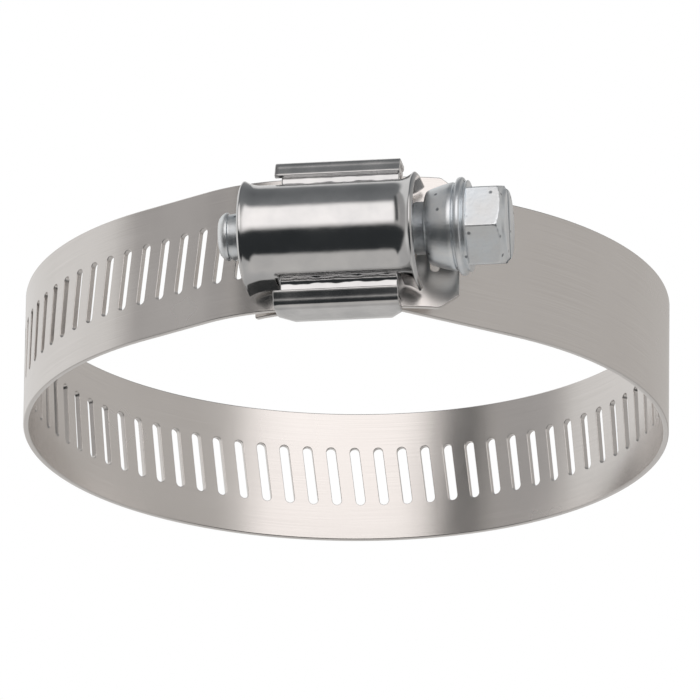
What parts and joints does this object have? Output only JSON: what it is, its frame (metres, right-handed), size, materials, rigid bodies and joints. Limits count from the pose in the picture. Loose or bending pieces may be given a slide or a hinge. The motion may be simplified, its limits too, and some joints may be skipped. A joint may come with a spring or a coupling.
{
  "type": "hose clamp",
  "caption": "Worm-drive hose clamp: a slotted steel band closed by a screw housing with a hex-head worm screw that draws the band round a hose.",
  "frame": {"origin": "centre of the clamped hose at the band's mid width", "axes": "+Z along the hose; the worm screw is parallel to +X with its hex head at +X; the housing is on the -Y side of the hose"},
  "size_m": [0.0675, 0.0785, 0.016],
  "materials": {
    "band_steel": "satin-bright rolled stainless strip",
    "housing_steel": "polished stainless sheet",
    "saddle_steel": "bright pressed stainless sheet",
    "screw_zinc": "bright zinc-plated steel"
  },
  "bodies": {
    "base": {"housing": "housing_steel", "saddle": "saddle_steel", "band_captive_end": "band_steel"},
    "screw": {"worm_screw": "screw_zinc"},
    "run": {"band_worm_run": "band_steel"},
    "tail": {"band_tail": "band_steel"},
    "flex_1": {"band_flex_1": "band_steel"},
    "flex_2": {"band_flex_2": "band_steel"},
    "flex_3": {"band_flex_3": "band_steel"},
    "flex_4": {"band_flex_4": "band_steel"},
    "flex_5": {"band_flex_5": "band_steel"},
    "flex_6": {"band_flex_6": "band_steel"},
    "flex_7": {"band_flex_7": "band_steel"},
    "flex_8": {"band_flex_8": "band_steel"},
    "plain_1": {"band_plain_1": "band_steel"},
    "plain_2": {"band_plain_2": "band_steel"}
  },
  "joints": [
    {"name": "screw_spin", "type": "hinge", "parent": "base", "child": "screw", "pos_m": [0, -0.0389, 0], "axis": [-1, 0, 0], "range_deg": [-360, 360]},
    {"name": "band_feed", "type": "slide", "parent": "base", "child": "run", "axis": [1, 0, 0], "range_m": [-0.00254, 0.00254]},
    {"name": "tail_hinge", "type": "hinge", "parent": "run", "child": "tail", "pos_m": [0.00873, -0.0357, 0], "axis": [0, 0, 1], "range_deg": [-7, 7]},
    {"name": "flex_1_hinge", "type": "hinge", "parent": "run", "child": "flex_1", "pos_m": [0.00111, -0.0357, 0], "axis": [0, 0, 1], "range_deg": [-0.163, 0.163]},
    {"name": "flex_2_hinge", "type": "hinge", "parent": "flex_1", "child": "flex_2", "pos_m": [-0.00639, -0.03461, 0], "axis": [0, 0, 1], "range_deg": [-0.374, 0.374]},
    {"name": "flex_3_hinge", "type": "hinge", "parent": "flex_2", "child": "flex_3", "pos_m": [-0.01531, -0.02978, 0], "axis": [0, 0, 1], "range_deg": [-0.56, 0.56]},
    {"name": "flex_4_hinge", "type": "hinge", "parent": "flex_3", "child": "flex_4", "pos_m": [-0.03064, -0.01341, 0], "axis": [0, 0, 1], "range_deg": [-0.275, 0.275]},
    {"name": "flex_5_hinge", "type": "hinge", "parent": "flex_4", "child": "flex_5", "pos_m": [-0.03223, 0.00895, 0], "axis": [0, 0, 1], "range_deg": [-0.174, 0.174]},
    {"name": "flex_6_hinge", "type": "hinge", "parent": "flex_5", "child": "flex_6", "pos_m": [-0.01934, 0.02729, 0], "axis": [0, 0, 1], "range_deg": [-0.66, 0.66]},
    {"name": "flex_7_hinge", "type": "hinge", "parent": "flex_6", "child": "flex_7", "pos_m": [0.00224, 0.03338, 0], "axis": [0, 0, 1], "range_deg": [-1.02, 1.02]},
    {"name": "flex_8_hinge", "type": "hinge", "parent": "flex_7", "child": "flex_8", "pos_m": [0.02281, 0.02447, 0], "axis": [0, 0, 1], "range_deg": [-0.76, 0.76]},
    {"name": "plain_1_hinge", "type": "hinge", "parent": "base", "child": "plain_1", "pos_m": [0.01104, -0.0344, 0], "axis": [0, 0, 1], "range_deg": [-0.81, 0.81]},
    {"name": "plain_2_hinge", "type": "hinge", "parent": "plain_1", "child": "plain_2", "pos_m": [0.02813, -0.0181, 0], "axis": [0, 0, 1], "range_deg": [-0.62, 0.62]}
  ],
  "couplings": [
    {"joint": "screw_spin", "follows": "band_feed", "rad_per_m": 2473.7},
    {"joint": "tail_hinge", "follows": "band_feed", "rad_per_m": 45.379},
    {"joint": "flex_1_hinge", "follows": "band_feed", "rad_per_m": 1.0706},
    {"joint": "flex_2_hinge", "follows": "band_feed", "rad_per_m": 2.4673},
    {"joint": "flex_3_hinge", "follows": "band_feed", "rad_per_m": 3.6816},
    {"joint": "flex_4_hinge", "follows": "band_feed", "rad_per_m": 1.8149},
    {"joint": "flex_5_hinge", "follows": "band_feed", "rad_per_m": -1.1452},
    {"joint": "flex_6_hinge", "follows": "band_feed", "rad_per_m": -4.3772},
    {"joint": "flex_7_hinge", "follows": "band_feed", "rad_per_m": -6.7446},
    {"joint": "flex_8_hinge", "follows": "band_feed", "rad_per_m": -5.0389},
    {"joint": "plain_1_hinge", "follows": "band_feed", "rad_per_m": -5.3664},
    {"joint": "plain_2_hinge", "follows": "band_feed", "rad_per_m": -4.1028}
  ]
}
